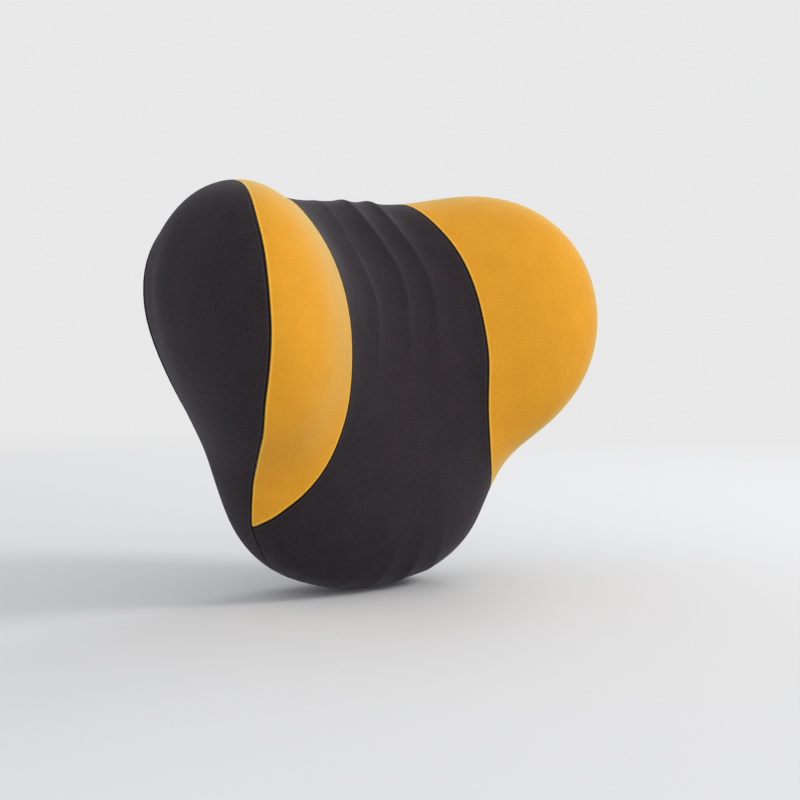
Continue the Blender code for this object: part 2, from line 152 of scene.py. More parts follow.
def turned(points, tilt, toe, lean):
    """The points in the axes of a shape turned about Y, then Z, then X."""
    x, y, z = points[..., 0], points[..., 1], points[..., 2]
    x, z = math.cos(tilt) * x + math.sin(tilt) * z, math.cos(tilt) * z - math.sin(tilt) * x
    x, y = math.cos(toe) * x + math.sin(toe) * y, math.cos(toe) * y - math.sin(toe) * x
    y, z = math.cos(lean) * y + math.sin(lean) * z, math.cos(lean) * z - math.sin(lean) * y
    return np.stack([x, y, z], -1)


def outside_ellipsoid(points, centre, half, squareness=2.0, turn=(0.0, 0.0, 0.0)):
    """((sum of |share|^e)^(1/e) - 1) / slope: about how far a point lies outside a rounded block."""
    share = np.abs(turned(points - np.array(centre), *turn)) / np.array(half) + 1e-6
    size = (share**squareness).sum(-1) ** (1 / squareness)
    slope = size[..., None] ** (1 - squareness) * share ** (squareness - 1) / np.array(half)
    return (size - 1) / np.linalg.norm(slope, axis=-1)


def lower_of(first, second, band):
    """min(first, second) - max(band - |first - second|, 0)^2 / (4 band)."""
    near = np.maximum(band - np.abs(first - second), 0)
    return np.minimum(first, second) - near * near / (4 * band)


def outside(points):
    """About how far each point lies outside the filled cover: body, roll and two wings, cut by y = 0."""
    body = outside_ellipsoid(
        points, (0, -BODY_DEPTH, BODY_HEIGHT), BODY_HALF, BODY_SQUARENESS, (0, 0, BODY_LEAN)
    )
    roll = outside_ellipsoid(points, (0, -ROLL_DEPTH, ROLL_HEIGHT), ROLL_HALF, ROLL_SQUARENESS)
    trunk = lower_of(body, roll, BLEND)
    total = -trunk
    for side in (-1, 1):
        wing = outside_ellipsoid(
            points * np.array([side, 1, 1]),
            (WING_OUT, -WING_DEPTH, WING_HEIGHT),
            WING_HALF,
            turn=(WING_TILT, WING_TOE, WING_LEAN),
        )
        total = total + lower_of(trunk, wing, BLEND)
    return -lower_of(-total, -points[..., 1], BACK_EDGE_BLEND)


def normals_at(points):
    """The outward direction of the form: its slope along each axis, made a unit vector."""
    step = 1e-5
    slope = [outside(points + step * axis) - outside(points - step * axis) for axis in np.eye(3)]
    slope = np.stack(slope, -1)
    return slope / np.linalg.norm(slope, axis=-1)[..., None]


def halved(low, high, is_low, times=22):
    """Where a condition stops holding between low and high, by halving."""
    for _ in range(times):
        middle = (low + high) / 2
        stays = is_low(middle)
        low, high = np.where(stays, middle, low), np.where(stays, high, middle)
    return low


def surface_along(turn, share, fan):
    """Where the ray leaves the form, from an inner ellipse at a clock angle and share, at a fan angle."""
    wide, high = FAN_WIDE * share * np.cos(turn), FAN_HIGH * share * np.sin(turn)
    start = np.stack([wide, -FAN_DEPTH + 0 * turn, FAN_CENTRE + high], -1)
    ray = np.stack([np.sin(fan) * np.cos(turn), -np.cos(fan), np.sin(fan) * np.sin(turn)], -1)

    def is_inside(length):
        return outside(start + length[..., None] * ray) < 0

    length = halved(np.zeros(turn.shape), np.full(turn.shape, REACH), is_inside)
    return start + length[..., None] * ray


CLOCK = np.linspace(-math.pi, math.pi, 721)
BACK_SEAM_FAN = halved(
    np.full(CLOCK.shape, math.pi / 2),
    np.full(CLOCK.shape, math.pi * 0.97),
    lambda fan: -surface_along(CLOCK, np.ones(CLOCK.shape), fan)[:, 1] > BACK_SEAM_DEPTH,
)


def clock_and_ring(across, station):
    """A place on the square chart as a clock angle and a share of the way out to its border."""
    wide = across * np.sqrt(1 - station**2 / 2)
    high = station * np.sqrt(1 - across**2 / 2)
    return np.arctan2(high, wide), np.hypot(wide, high)


def surface(across, station):
    """Front points from a square chart: across and station from -1 to 1, with the back seam round it."""
    turn, ring = clock_and_ring(across, station)
    return surface_along(turn, ring, ring * np.interp(turn, CLOCK, BACK_SEAM_FAN))


def back_surface(x, z):
    """The back of the form as a height over (x, z): the last y inside it."""

    def is_inside(y):
        return outside(np.stack([x, y, z], -1)) < 0

    y = halved(np.full(x.shape, -1.5 * BACK_SEAM_DEPTH), np.full(x.shape, MM), is_inside)
    return np.stack([x, y, z], -1)


# Seam lines


def smooth_through(knots, stations, column=1):
    """Cubic pieces through the knots, with the slope at each knot from its neighbours."""
    table = np.array(knots)
    places, values = table[:, 0], table[:, column]
    slopes = np.gradient(values, places)
    cell = np.clip(np.searchsorted(places, stations) - 1, 0, len(places) - 2)
    step = places[cell + 1] - places[cell]
    t = (stations - places[cell]) / step
    return (
        (1 + 2 * t) * (1 - t) ** 2 * values[cell]
        + t * (1 - t) ** 2 * step * slopes[cell]
        + t**2 * (3 - 2 * t) * values[cell + 1]
        + t**2 * (t - 1) * step * slopes[cell + 1]
    )


def across_line(knots, stations):
    """How far across the chart the form first reaches the knots' half width, at each station."""
    tries = np.linspace(0, 1, 241)
    across, station = np.meshgrid(tries, stations)
    reached = surface(across, station)[..., 0]
    wanted = np.minimum(smooth_through(knots, stations), reached.max(1) * 0.98)
    first = np.argmax(reached > wanted[:, None], axis=1)
    rows = np.arange(len(stations))
    before, after = reached[rows, first - 1], reached[rows, first]
    return tries[first - 1] + (wanted - before) / (after - before) * (tries[1] - tries[0])


SEAM_STATIONS = np.linspace(-1, 1, 301)
RIDGE_LINE = across_line(RIDGE_SEAM, SEAM_STATIONS)
INNER_LINE = across_line(INNER_SEAM, np.maximum(SEAM_STATIONS, TIP_STATION))


def ridge(station):
    """The ridge seam, between the accent and the side panel."""
    return np.interp(station, SEAM_STATIONS, RIDGE_LINE)


def inner(station):
    """The accent's inner seam, and below its tip the ridge seam, which the centre panel then follows."""
    line = np.minimum(np.interp(station, SEAM_STATIONS, INNER_LINE), ridge(station))
    return np.where(station < TIP_STATION, ridge(station), line)


def back_seam(station):
    """The back seam, which is the border of the chart."""
    return np.ones(np.shape(station))


def mirrored(line):
    """The same line on the other side of the pillow."""
    return lambda station: -line(station)


def run_along(points, axis=0):
    """Distance run along a line or a grid, from its first point."""
    steps = np.linalg.norm(np.diff(points, axis=axis), axis=-1)
    start = np.zeros_like(np.take(steps, [0], axis=axis))
    return np.concatenate([start, np.cumsum(steps, axis=axis)], axis=axis)


def even_line(points, step=0.5 * MM):
    """The same line with a point every step."""
    run = run_along(points)
    places = np.linspace(0, run[-1], int(run[-1] / step) + 2)
    return np.stack([np.interp(places, run, points[:, axis]) for axis in range(points.shape[1])], -1)


def seam_line(line, low, high):
    """The run of a seam over the form, from one station to another."""
    stations = np.linspace(low, high, 900)
    return even_line(surface(line(stations), stations))


BORDER = surface_along(CLOCK, np.ones(CLOCK.shape), BACK_SEAM_FAN)
SEAMS = {
    "back": even_line(BORDER),
    "right_ridge": seam_line(ridge, -1, 1),
    "left_ridge": seam_line(mirrored(ridge), -1, 1),
    "right_inner": seam_line(inner, TIP_STATION, 1),
    "left_inner": seam_line(mirrored(inner), TIP_STATION, 1),
}


def nearest_seam(points, names):
    """(distance to the nearest of the named seams, run along it), from the closest of its segments."""
    flat = points.reshape(-1, 3)
    best, place = np.full(len(flat), 1.0), np.zeros(len(flat))
    for name in names:
        line = SEAMS[name]
        run = run_along(line)
        tree = KDTree(len(line))
        for index, point in enumerate(line):
            tree.insert(point, index)
        tree.balance()
        nearest = np.array([tree.find(point)[1] for point in flat])
        for shift in (-1, 0):
            first = np.clip(nearest + shift, 0, len(line) - 2)
            start, along = line[first], line[first + 1] - line[first]
            share = np.clip(((flat - start) * along).sum(-1) / (along**2).sum(-1), 0, 1)
            distance = np.linalg.norm(flat - start - share[:, None] * along, axis=-1)
            closer = distance < best
            best = np.where(closer, distance, best)
            place = np.where(closer, run[first] + share * (run[first + 1] - run[first]), place)
    return best.reshape(points.shape[:-1]), place.reshape(points.shape[:-1])


# Mesh

# The places of a quarter round, as shares of its radius, crowded at its steep end
QUARTER = 1 - np.cos(np.linspace(0, math.pi / 2, 6))


def mesh_object(name, points, faces, material):
    """A smooth-shaded piece at the origin, from points and faces."""
    data = bpy.data.meshes.new(name)
    data.from_pydata(points.reshape(-1, 3), [], faces if isinstance(faces, list) else faces.tolist())
    thing = bpy.data.objects.new(name, data)
    bpy.context.scene.collection.objects.link(thing)
    if material is not None:
        data.materials.append(material)
    data.polygons.foreach_set("use_smooth", np.full(len(data.polygons), True))
    data.update()
    return thing


def grid_faces(rows, columns, closed=False, start=0):
    """Quads over a grid of points counted row by row. A closed grid's last column meets its first."""
    index = np.arange(rows * columns).reshape(rows, columns) + start
    if closed:
        index = np.hstack([index, index[:, :1]])
    return np.stack([index[:-1, :-1], index[:-1, 1:], index[1:, 1:], index[1:, :-1]], -1).reshape(-1, 4)


def grid_border(rows, columns):
    """True along the border of a grid, and False inside it."""
    border = np.ones((rows, columns), bool)
    border[1:-1, 1:-1] = False
    return border


def closed_tube(name, rings, material):
    """A closed piece from rings of points carried along a path, with a flat cap at each end."""
    rows, sides = rings.shape[:2]
    caps = [list(range(sides)), list(range(rows * sides - 1, (rows - 1) * sides - 1, -1))]
    return mesh_object(name, rings, grid_faces(rows, sides, closed=True)[:, ::-1].tolist() + caps, material)


def add_uv(thing, across, along):
    """Give each corner its run across and along the piece, in metres."""
    data = thing.data
    corners = np.empty(len(data.loops), int)
    data.loops.foreach_get("vertex_index", corners)
    pairs = np.stack([across.ravel(), along.ravel()], -1)[corners]
    data.uv_layers.new(name="weave").data.foreach_set("uv", pairs.ravel())


def add_attribute(thing, name, values):
    thing.data.attributes.new(name, "FLOAT", "POINT").data.foreach_set("value", values.ravel())


def give_wall(thing, thickness):
    """Give a sheet its thickness, inwards from the side that is seen."""
    wall = thing.modifiers.new("wall", "SOLIDIFY")
    wall.thickness = thickness
    wall.offset = -1


def dress(piece, node):
    """Hide the CAD part that the new piece stands in for, and let the piece ride on the pillow."""
    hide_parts(node)
    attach(piece, "pillow")


# Materials

# The colour sockets of the Mix node, whose names its other data types share
MIX_FIRST, MIX_SECOND, MIX_RESULT = 6, 7, 2


class Graph:
    """A material's node tree, built up from its Principled shader."""

    def __init__(self, name, colour, roughness, metallic=0.0):
        self.material = bpy.data.materials.new(name)
        self.material.use_nodes = True
        self.tree = self.material.node_tree
        self.shader = self.tree.nodes["Principled BSDF"]
        self.material.diffuse_color = (*colour, 1)
        self.set(self.shader, "Base Color", (*colour, 1))
        self.set(self.shader, "Roughness", roughness)
        self.set(self.shader, "Metallic", metallic)

    def set(self, node, name, value):
        """Put a constant or another node's output on an input."""
        if isinstance(value, bpy.types.NodeSocket):
            self.tree.links.new(value, node.inputs[name])
        else:
            node.inputs[name].default_value = value

    def add(self, kind, settings=(), **inputs):
        node = self.tree.nodes.new("ShaderNode" + kind)
        for key, value in dict(settings).items():
            setattr(node, key, value)
        for name, value in inputs.items():
            self.set(node, name.replace("_", " "), value)
        return node

    def place(self):
        return self.add("TexCoord").outputs["Object"]

    def weave_place(self):
        return self.add("UVMap", {"uv_map": "weave"}).outputs["UV"]

    def noise(self, vector, scale, detail=2.0, roughness=0.5):
        node = self.add("TexNoise", Vector=vector, Scale=scale, Detail=detail, Roughness=roughness)
        return node.outputs["Fac"]

    def wave(self, vector, axis, period):
        """Bands across an axis: the wave node repeats every pi / 10 over its scale."""
        node = self.add("TexWave", {"bands_direction": axis}, Vector=vector, Scale=math.pi / 10 / period)
        return node.outputs["Fac"]

    def math(self, operation, first, second=0.0):
        node = self.add("Math", {"operation": operation})
        self.set(node, 0, first)
        self.set(node, 1, second)
        return node.outputs["Value"]

    def ranged(self, value, low, high, to_low=0.0, to_high=1.0):
        node = self.add("MapRange")
        given = {"Value": value, "From Min": low, "From Max": high, "To Min": to_low, "To Max": to_high}
        for name, setting in given.items():
            self.set(node, name, setting)
        return node.outputs["Result"]

    def mixed(self, share, first, second):
        node = self.add("Mix", {"data_type": "RGBA"})
        self.set(node, 0, share)
        self.set(node, MIX_FIRST, (*first, 1) if isinstance(first, tuple) else first)
        self.set(node, MIX_SECOND, (*second, 1) if isinstance(second, tuple) else second)
        return node.outputs[MIX_RESULT]

    def bump(self, height, distance, strength=1.0):
        node = self.add("Bump", Height=height, Distance=distance, Strength=strength)
        self.set(self.shader, "Normal", node.outputs["Normal"])

    def attribute(self, name):
        return self.add("Attribute", {"attribute_name": name}).outputs["Fac"]


def shade(colour, factor):
    return tuple(min(factor * part, 1.0) for part in colour)


def knit(name, colour, deep, sheen, sheen_tint, specular, seam_shadow_width):
    """Fine smooth knit: rows of loops along the panel's own run, a mottle in the yarn, a soft bloom, the tug of
    each stitch beside a seam, a painted highlight on the edge that rolls over into it, and a painted shadow
    in the seam itself."""
    graph = Graph(name, colour, 0.8)
    graph.set(graph.shader, "Specular IOR Level", specular)
    graph.set(graph.shader, "Sheen Weight", sheen)
    graph.set(graph.shader, "Sheen Roughness", 0.35)
    graph.set(graph.shader, "Sheen Tint", (*sheen_tint, 1))
    weave = graph.weave_place()
    loops = graph.math("MULTIPLY", graph.wave(weave, "X", 1.15 * MM), graph.wave(weave, "Y", 0.85 * MM))
    place = graph.place()
    fuzz = graph.noise(place, 1000, 3, 0.6)
    patches = graph.noise(place, 60, 2)
    seam, along = graph.attribute("seam"), graph.attribute("stitch")
    near = graph.ranged(seam, 0.3 * MM, 1.8 * MM, 1.0, 0.0)
    pull = graph.math("COSINE", graph.math("MULTIPLY", along, 2 * math.pi / STITCH_PITCH))
    tug = graph.math("MULTIPLY", near, pull)
    height = graph.math("ADD", loops, graph.math("MULTIPLY", fuzz, 1.2))
    height = graph.math("ADD", height, graph.math("MULTIPLY", tug, 1.2))
    graph.bump(height, 0.16 * MM, 0.6)
    grain = graph.math("ADD", graph.math("MULTIPLY", loops, 0.6), fuzz)
    yarn = graph.mixed(graph.ranged(grain, 0.3, 1.0), deep, colour)
    worn = graph.math("MULTIPLY", graph.ranged(patches, 0.3, 0.7), 0.15)
    yarn = graph.mixed(worn, yarn, shade(colour, 1.3))
    # Painted highlight: a paler band 0.7 to 2.2 mm from the seam stands in for light caught by the fabric's
    # rolled edge
    rising, falling = graph.ranged(seam, 0.7 * MM, 1.1 * MM), graph.ranged(seam, 1.3 * MM, 2.2 * MM, 1.0, 0.0)
    painted_edge_highlight = graph.math("MULTIPLY", graph.math("MULTIPLY", rising, falling), 0.7)
    yarn = graph.mixed(painted_edge_highlight, yarn, shade(colour, 1.45))
    # Painted shadow: within the given width of the seam the yarn turns to a near black that stands in for the
    # shade in the seam's groove
    painted_seam_shadow = graph.ranged(seam, 0.4 * seam_shadow_width, seam_shadow_width)
    graph.set(graph.shader, "Base Color", graph.mixed(painted_seam_shadow, PAINTED_SEAM_SHADOW, yarn))
    return graph.material


def woven(name, colour, across, along):
    """Ribbed narrow fabric: ribs along its length crossed by fine weft."""
    graph = Graph(name, colour, 0.7)
    graph.set(graph.shader, "Sheen Weight", 0.2)
    graph.set(graph.shader, "Specular IOR Level", 0.25)
    place = graph.place()
    ribs, weft = graph.wave(place, "Z", across), graph.wave(place, "X", along)
    fuzz = graph.noise(place, 1500, 3)
    height = graph.math("ADD", graph.math("MULTIPLY", ribs, 0.7), graph.math("MULTIPLY", weft, 0.5))
    graph.bump(graph.math("ADD", height, graph.math("MULTIPLY", fuzz, 0.3)), 0.15 * MM, 0.7)
    lit = graph.ranged(graph.math("ADD", height, fuzz), 0.4, 1.6)
    graph.set(graph.shader, "Base Color", graph.mixed(lit, shade(colour, 0.5), colour))
    return graph.material


def nylon(name, colour):
    """Drawn nylon thread: a half gloss with a fine grain."""
    graph = Graph(name, colour, 0.4)
    grain = graph.noise(graph.place(), 2500, 2)
    graph.set(graph.shader, "Roughness", graph.ranged(grain, 0.3, 0.7, 0.32, 0.5))
    graph.bump(grain, 0.03 * MM, 0.3)
    return graph.material


def plated(name, colour):
    """Gunmetal plate with fine tumbling marks."""
    graph = Graph(name, colour, 0.32, 1.0)
    place = graph.place()
    marks = graph.noise(place, 900, 4, 0.65)
    graph.set(graph.shader, "Roughness", graph.ranged(graph.noise(place, 180), 0.3, 0.7, 0.24, 0.42))
    graph.set(
        graph.shader, "Base Color", graph.mixed(graph.ranged(marks, 0.35, 0.7), colour, shade(colour, 1.5))
    )
    graph.bump(marks, 0.03 * MM, 0.4)
    return graph.material


def foam(name, colour):
    """Moulded foam: a fine open skin."""
    graph = Graph(name, colour, 0.9)
    cells = graph.noise(graph.place(), 700, 3)
    graph.bump(cells, 0.3 * MM, 0.6)
    graph.set(graph.shader, "Base Color", graph.mixed(cells, shade(colour, 0.8), colour))
    return graph.material


# Near black of the painted shadow in each seam's groove
PAINTED_SEAM_SHADOW = (0.006, 0.005, 0.006)
CHARCOAL = knit(
    "charcoal_knit", (0.0405, 0.0316, 0.0373), (0.0084, 0.006, 0.0079), 0.12, (0.9, 0.9, 1.0), 0.12, 1.6 * MM
)
AMBER = knit(
    "amber_knit", (0.830, 0.385, 0.030), (0.690, 0.280, 0.016), 0.50, (0.60, 1.0, 0.62), 0.12, 0.7 * MM
)
GUNMETAL = plated("gunmetal", (0.12, 0.12, 0.13))
TAPE = woven("zip_tape_weave", (0.022, 0.021, 0.023), 0.8 * MM, 0.6 * MM)
COIL = nylon("zip_coil_nylon", (0.018, 0.018, 0.020))
ELASTIC = woven("strap_elastic_weave", (0.026, 0.025, 0.027), RIB_PITCH, 0.9 * MM)
THREAD = woven("thread_twist", (0.13, 0.125, 0.13), 0.4 * MM, 0.4 * MM)
FOAM = foam("moulded_foam", (0.80, 0.76, 0.62))


# Swelling of a panel under cloth simulation


def between(left, right, stations, shares):
    """Chart places between two seam lines, as (across, station): each share of the way, at each station."""
    across = left(stations)[:, None] * (1 - shares) + right(stations)[:, None] * shares
    return across, np.repeat(stations[:, None], across.shape[1], axis=1)


def blow_out(points, start):
    """Where cloth settles from its start, pinned along its border under pressure, with gravity off."""
    rows, columns = points.shape[:2]
    sheet = mesh_object("swelling", start, grid_faces(rows, columns), None)
    pinned = np.flatnonzero(grid_border(rows, columns)).tolist()
    sheet.vertex_groups.new(name="seams").add(pinned, 1.0, "REPLACE")
    cloth = sheet.modifiers.new("cloth", "CLOTH")
    settings = cloth.settings
    settings.quality = CLOTH_QUALITY
    settings.mass = CLOTH_MASS
    settings.tension_stiffness = settings.compression_stiffness = CLOTH_STRETCH
    settings.shear_stiffness = CLOTH_SHEAR
    settings.bending_stiffness = CLOTH_BEND
    settings.use_pressure = True
    settings.uniform_pressure_force = CLOTH_PRESSURE
    settings.vertex_group_mass = "seams"
    settings.effector_weights.gravity = 0
    cloth.collision_settings.use_collision = False
    cloth.point_cache.frame_start, cloth.point_cache.frame_end = 1, CLOTH_FRAMES
    for number in range(1, CLOTH_FRAMES + 1):
        bpy.context.scene.frame_set(number)
    blown = sheet.evaluated_get(bpy.context.evaluated_depsgraph_get()).to_mesh()
    places = np.empty(rows * columns * 3, np.float32)
    blown.vertices.foreach_get("co", places)
    bpy.context.scene.frame_set(1)
    bpy.data.objects.remove(sheet, do_unlink=True)
    return places.reshape(rows, columns, 3)


def swelling(left, right, low, high):
    """How far a panel moves out, in metres, at each point of a coarse grid between two seam lines.

    The panel starts a little inside the form. Its move is smoothed, and capped as limit * tanh(move / limit).
    """
    stations = np.linspace(low, high, 64)
    middle = surface((left(stations) + right(stations)) / 2, stations)
    rows = int(run_along(middle)[-1] / CLOTH_CELL) + 2
    stations = np.linspace(low, high, rows)
    tried = surface(*between(left, right, stations, np.linspace(0, 1, 33)))
    columns = int(run_along(tried, axis=1)[:, -1].max() / CLOTH_CELL) + 2
    points = surface(*between(left, right, stations, np.linspace(0, 1, columns)))
    outward = normals_at(points)
    blown = blow_out(points, points - START_INSET * outward)
    moved = ((blown - points) * outward).sum(-1) + START_INSET
    for _ in range(3):
        moved[1:-1] = (moved[:-2] + 2 * moved[1:-1] + moved[2:]) / 4
        moved[:, 1:-1] = (moved[:, :-2] + 2 * moved[:, 1:-1] + moved[:, 2:]) / 4
    return SWELL_LIMIT * np.tanh(np.maximum(moved, 0) / SWELL_LIMIT)


def cubic_sample(grid, row, column):
    """A grid read between its points, by cubic pieces with each point's slope from its neighbours."""

    def weights(t):
        return np.stack(
            [-t + 2 * t**2 - t**3, 2 - 5 * t**2 + 3 * t**3, t + 4 * t**2 - 3 * t**3, t**3 - t**2]
        ) / 2

    first_row = np.clip(np.floor(row).astype(int), 0, grid.shape[0] - 2)
    first_column = np.clip(np.floor(column).astype(int), 0, grid.shape[1] - 2)
    row_weights, column_weights = weights(row - first_row), weights(column - first_column)
    total = np.zeros(row.shape)
    for i in range(4):
        for j in range(4):
            read_row = np.clip(first_row + i - 1, 0, grid.shape[0] - 1)
            read_column = np.clip(first_column + j - 1, 0, grid.shape[1] - 1)
            total += row_weights[i] * column_weights[j] * grid[read_row, read_column]
    return total


# Front panels

# About how far one station runs over the form near the back seam
STATION_RUN = 0.16


def gathered(x, station):
    """Height of the gathers: each is rise * exp(-(sqrt(d^2 + r^2) - r) / w), d being the way to its crest."""
    height = np.zeros(x.shape)
    for crest in GATHERS:
        low, high = crest[0][0], crest[-1][0]
        held = np.clip(station, low, high)
        away = x - smooth_through(crest, held)
        rise = np.maximum(smooth_through(crest, held, column=2), 0) * GATHER_GROWTH * MM
        rise = np.where((station >= low) & (station <= high), rise, 0)
        height += rise * np.exp(-(np.sqrt(away**2 + GATHER_ROUND**2) - GATHER_ROUND) / GATHER_WIDTH)
    return height


def fullness(across, station):
    """rise * (1 - across^12) * exp(-a^2 - s^2), a and s being the way from each wing's fullest place."""
    a, s = (np.abs(across) - FULL_PLACE[0]) / FULL_SPREAD[0], (station - FULL_PLACE[1]) / FULL_SPREAD[1]
    return FULLNESS * (1 - across**12) * np.exp(-(a**2) - s**2)


def seam_drop(distance, place):
    """A quarter round down at the seam, with the pucker of the fabric beside it."""
    inside = np.clip(1 - distance / SHOULDER, 0, 1)
    drop = SHOULDER * (1 - np.sqrt(1 - inside**2))
    ripple = np.sin(2 * math.pi * place / PUCKER_PITCH + 2 * np.sin(place / PUCKER_WANDER))
    return drop + PUCKER_HEIGHT * ripple * np.exp(-distance / PUCKER_REACH) * (1 - np.exp(-distance / MM))


def edge_places(total, sines, count):
    """Places from 0 to each total: those of a quarter round at both ends, and even ones between."""
    ends = [np.minimum(SHOULDER * QUARTER / sine[:, None], total[:, None] * 0.4 * QUARTER) for sine in sines]
    shares = np.linspace(0, 1, count - 2 * len(QUARTER) + 2)[1:-1]
    low, high = ends[0][:, -1:], total[:, None] - ends[1][:, -1:]
    return np.hstack([ends[0], low * (1 - shares) + high * shares, total[:, None] - ends[1][:, ::-1]])


def edge_sine(points, column, inward):
    """The sine between a grid's rows and its edge column."""
    along = np.gradient(points[:, column], axis=0)
    across = points[:, column + inward] - points[:, column]
    size = np.linalg.norm(across, axis=-1) * np.linalg.norm(along, axis=-1) + 1e-12
    return np.clip(np.linalg.norm(np.cross(across, along), axis=-1) / size, 0.3, 1)


def panel_rows(low, high, count):
    """Stations from low to high, crowded in a quarter round where the panel ends at the back seam."""
    quarter = SHOULDER * QUARTER / STATION_RUN
    start = low + quarter if low == -1 else np.array([low])
    end = high - quarter[::-1] if high == 1 else np.array([high])
    middle = np.linspace(start[-1], end[0], count - len(start) - len(end) + 2)[1:-1]
    return np.concatenate([start, middle, end])


def add_panel(node, left, right, low, high, seams, material, rows, columns):
    """A front panel between two seam lines and two stations."""
    stations = panel_rows(low, high, rows)
    shares = np.linspace(0, 1, 121)
    coarse = surface(*between(left, right, stations, shares))
    run = run_along(coarse, axis=1)
    places = edge_places(run[:, -1], (edge_sine(coarse, 0, 1), edge_sine(coarse, -1, -1)), columns)
    share = np.array([np.interp(wanted, had, shares) for wanted, had in zip(places, run)])
    across, station = between(left, right, stations, share)
    points = surface(across, station)
    distance, place = nearest_seam(points, seams)
    grid = swelling(left, right, low, high)
    row = (station - low) / (high - low) * (grid.shape[0] - 1)
    out = cubic_sample(grid, row, share * (grid.shape[1] - 1)) - START_INSET - seam_drop(distance, place)
    out += fullness(across, station)
    if node == "centre_panel":
        out += gathered(points[..., 0], station) * (1 - np.exp(-distance / GATHER_SEAM))
    placed = points + out[..., None] * normals_at(points)
    panel = mesh_object(node + "_knit", placed, grid_faces(rows, columns), material)
    across_run = run_along(points, axis=1)
    add_uv(panel, across_run - across_run[:, columns // 2, None], run_along(points))
    add_attribute(panel, "seam", distance)
    add_attribute(panel, "stitch", place)
    give_wall(panel, FABRIC)
    dress(panel, node)


add_panel(
    "centre_panel", mirrored(inner), inner, -1, 1,
    ("left_inner", "right_inner", "left_ridge", "right_ridge", "back"), CHARCOAL, 380, 110,
)
add_panel(
    "left_accent_panel", mirrored(ridge), mirrored(inner), ACCENT_START, 1,
    ("left_inner", "left_ridge", "back"), AMBER, 320, 60,
)
add_panel(
    "right_accent_panel", inner, ridge, ACCENT_START, 1,
    ("right_inner", "right_ridge", "back"), AMBER, 320, 60,
)
add_panel(
    "left_side_panel", mirrored(back_seam), mirrored(ridge), -1, 1, ("left_ridge", "back"), CHARCOAL, 360, 76
)
add_panel("right_side_panel", ridge, back_seam, -1, 1, ("right_ridge", "back"), CHARCOAL, 360, 76)


# Back panel

SLOT_HALF = (ZIP_LENGTH / 2 + ZIP_CLEARANCE, COIL_GAP / 2 + TAPE_WIDTH + ZIP_CLEARANCE)
SLOT_ROUND, BACK_TUCK = 0.6 * MM, 6 * MM
# How much the directions to the back seam are narrowed, to spread them evenly round the long slot
SLOT_SPREAD = 0.31


def slot_outline(turn):
    """A long rectangle with rounded corners: |x / a|^12 + |z / b|^12 = 1."""
    x, z = np.cos(turn), np.sin(turn)
    size = (np.abs(x) ** 12 + np.abs(z) ** 12) ** (-1 / 12)
    return np.stack([SLOT_HALF[0] * x * size, ZIP_HEIGHT + SLOT_HALF[1] * z * size], -1)


def add_back_panel():
    """Rings on the flat back from the zip's slot out to the back seam, with a quarter round at both."""
    turn = np.linspace(-math.pi, math.pi, 841)[:-1]
    border = np.stack([np.interp(turn, CLOCK, BORDER[:, axis]) for axis in range(3)], -1)
    outline = border[:, [0, 2]]
    slot = slot_outline(np.arctan2(outline[:, 1] - ZIP_HEIGHT, outline[:, 0] * SLOT_SPREAD))
    span = np.linalg.norm(outline - slot, axis=-1)
    middle = np.linspace(0, 1, 42)[1:-1, None]
    first, last = SLOT_ROUND * QUARTER[:, None], SHOULDER * QUARTER[::-1, None]
    runs = [first + 0 * span, first[-1] * (1 - middle) + (span - last[0]) * middle, span - last]
    run = np.vstack(runs)
    share = (run / span)[..., None]
    flat = slot * (1 - share) + outline * share
    points = back_surface(flat[..., 0], flat[..., 1])
    points[-1] = border
    distance, place = nearest_seam(points, ("back",))
    out = -START_INSET * np.exp(-distance / BACK_TUCK) - seam_drop(distance, place)
    out -= SLOT_ROUND * (1 - np.sqrt(1 - np.clip(1 - run / SLOT_ROUND, 0, 1) ** 2))
    placed = points + out[..., None] * normals_at(points)
    panel = mesh_object("back_panel_knit", placed, grid_faces(*run.shape, closed=True)[:, ::-1], CHARCOAL)
    add_uv(panel, points[..., 0], points[..., 2])
    add_attribute(panel, "seam", distance)
    add_attribute(panel, "stitch", place)
    give_wall(panel, FABRIC)
    dress(panel, "back_panel")


add_back_panel()


# Foam

FOAM_INSET = 3.6 * MM


def add_foam():
    """One smooth body: the form's front and back charts, drawn in by the inset, joined at their border."""
    size = 90
    share = np.sin(np.linspace(-math.pi / 2, math.pi / 2, size))
    across, station = np.meshgrid(share, share)
    turn, ring = clock_and_ring(across, station)
    fan = ring * np.interp(turn, CLOCK, BACK_SEAM_FAN)
    behind = math.pi - ring * (math.pi - np.interp(turn, CLOCK, BACK_SEAM_FAN))
    points = np.concatenate([surface_along(turn, ring, way).reshape(-1, 3) for way in (fan, behind)])
    faces = np.vstack([grid_faces(size, size), grid_faces(size, size, start=size * size)[:, ::-1]])
    border = grid_border(size, size).ravel()
    number = np.arange(2 * size * size)
    number[size * size :][border] = number[: size * size][border]
    used, faces = np.unique(number[faces], return_inverse=True)
    placed = (points - FOAM_INSET * normals_at(points))[used]
    dress(mesh_object("foam_core_moulded", placed, faces.reshape(-1, 4), FOAM), "foam_core")


add_foam()


# Zip coils


def tube(path, radius, sides, ahead):
    """Rings of points round a path, each square to the way the path runs."""
    along = np.gradient(path, axis=0)
    along /= np.linalg.norm(along, axis=-1)[:, None]
    first = np.cross(along, ahead)
    first /= np.linalg.norm(first, axis=-1)[:, None]
    second = np.cross(along, first)
    turn = (np.arange(sides) * 2 * math.pi / sides)[:, None]
    return path[:, None] + radius * (first[:, None] * np.cos(turn) + second[:, None] * np.sin(turn))


